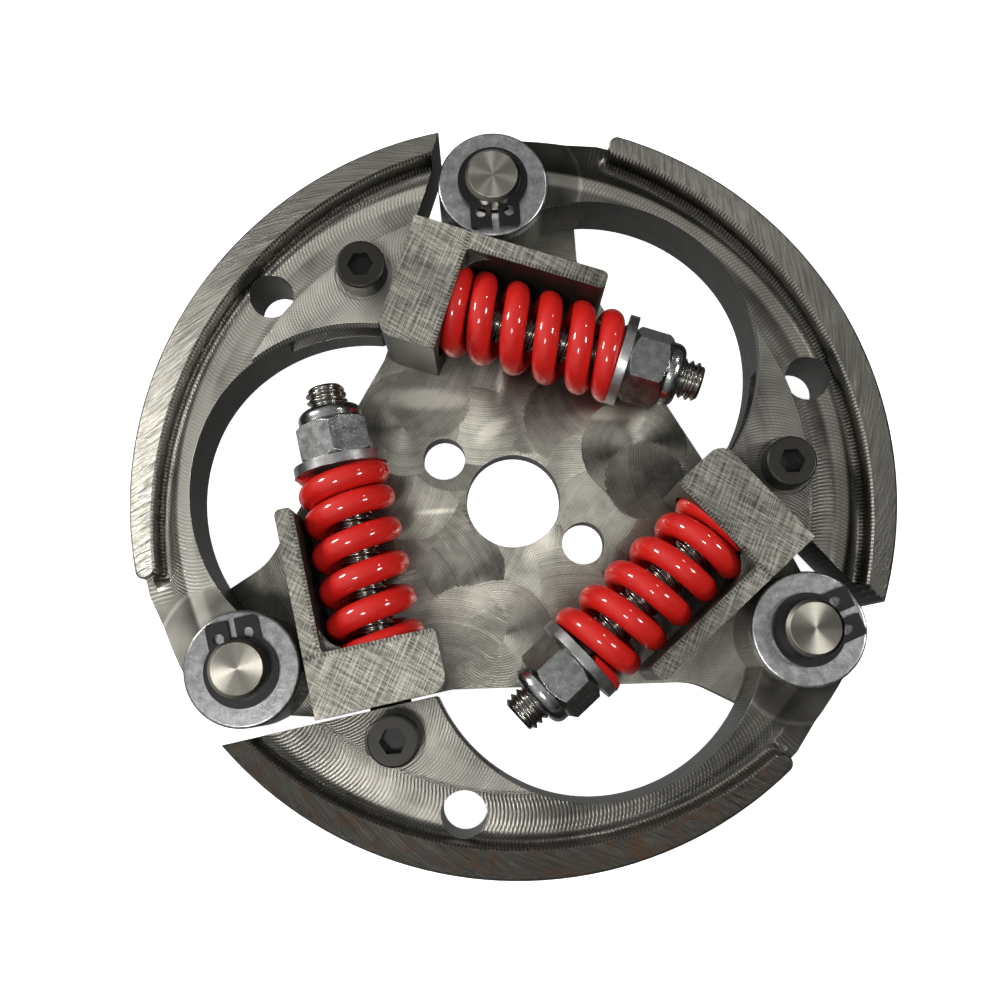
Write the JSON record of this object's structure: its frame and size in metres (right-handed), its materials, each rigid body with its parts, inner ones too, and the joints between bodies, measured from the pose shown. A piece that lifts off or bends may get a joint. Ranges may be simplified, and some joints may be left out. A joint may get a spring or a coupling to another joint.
{
  "type": "centrifugal clutch",
  "caption": "Centrifugal clutch: a three-lobed carrier plate with pivoted shoes, each drawn in by a red coil spring on an adjustable stud.",
  "frame": {"origin": "centre of the bore at the back face of the carrier plate", "axes": "+Z along the bore axis, towards the side with the shoes; +Y towards the first pivot pin"},
  "size_m": [0.105, 0.1053, 0.019],
  "materials": {
    "plate_steel": "bare milled steel with overlapping end-mill swirls, lightly oiled",
    "shoe_steel": "bare milled steel, ground on top of the rim",
    "pin_steel": "turned end face",
    "washer_zinc": "satin zinc plate",
    "circlip_black": "phosphated spring steel",
    "screw_black": "black oxide",
    "stud_steel": "rolled thread, bare steel",
    "spring_red": "glossy red powder coat",
    "nut_zinc": "bright zinc plate",
    "nylon": "natural nylon"
  },
  "bodies": {
    "carrier": {"carrier_plate": "plate_steel", "pivot_pin_1": "pin_steel", "pivot_pin_2": "pin_steel", "pivot_pin_3": "pin_steel", "pivot_washer_1": "washer_zinc", "pivot_washer_2": "washer_zinc", "pivot_washer_3": "washer_zinc", "circlip_1": "circlip_black", "circlip_2": "circlip_black", "circlip_3": "circlip_black", "spring_1": "spring_red", "spring_2": "spring_red", "spring_3": "spring_red"},
    "shoe_1": {"shoe_1": "shoe_steel", "cap_screw_1": "screw_black"},
    "stud_1": {"eye_stud_1": "stud_steel", "spring_washer_1": "nut_zinc", "lock_nut_1": "nut_zinc", "nylon_insert_1": "nylon"},
    "shoe_2": {"shoe_2": "shoe_steel", "cap_screw_2": "screw_black"},
    "stud_2": {"eye_stud_2": "stud_steel", "spring_washer_2": "nut_zinc", "lock_nut_2": "nut_zinc", "nylon_insert_2": "nylon"},
    "shoe_3": {"shoe_3": "shoe_steel", "cap_screw_3": "screw_black"},
    "stud_3": {"eye_stud_3": "stud_steel", "spring_washer_3": "nut_zinc", "lock_nut_3": "nut_zinc", "nylon_insert_3": "nylon"}
  },
  "joints": [
    {"name": "shoe_1_swing", "type": "hinge", "parent": "carrier", "child": "shoe_1", "pos_m": [0, 0.0449, 0], "axis": [0, 0, 1], "range_deg": [0, 3], "stiffness_Nm_per_rad": 1350, "springref_deg": -0.97, "deforming": ["spring_1"]},
    {"name": "stud_1_swivel", "type": "hinge", "parent": "shoe_1", "child": "stud_1", "pos_m": [0.03818, 0.00055, 0], "axis": [0, 0, 1], "range_deg": [-3, 0]},
    {"name": "shoe_2_swing", "type": "hinge", "parent": "carrier", "child": "shoe_2", "pos_m": [0.03888, -0.02245, 0], "axis": [0, 0, 1], "range_deg": [0, 3], "stiffness_Nm_per_rad": 1350, "springref_deg": -0.97, "deforming": ["spring_2"]},
    {"name": "stud_2_swivel", "type": "hinge", "parent": "shoe_2", "child": "stud_2", "pos_m": [-0.01862, -0.03334, 0], "axis": [0, 0, 1], "range_deg": [-3, 0]},
    {"name": "shoe_3_swing", "type": "hinge", "parent": "carrier", "child": "shoe_3", "pos_m": [-0.03888, -0.02245, 0], "axis": [0, 0, 1], "range_deg": [0, 3], "stiffness_Nm_per_rad": 1350, "springref_deg": -0.97, "deforming": ["spring_3"]},
    {"name": "stud_3_swivel", "type": "hinge", "parent": "shoe_3", "child": "stud_3", "pos_m": [-0.01956, 0.03279, 0], "axis": [0, 0, 1], "range_deg": [-3, 0]}
  ],
  "couplings": [
    {"joint": "stud_1_swivel", "follows": "shoe_1_swing", "ratio": -1},
    {"joint": "stud_2_swivel", "follows": "shoe_2_swing", "ratio": -1},
    {"joint": "stud_3_swivel", "follows": "shoe_3_swing", "ratio": -1}
  ]
}
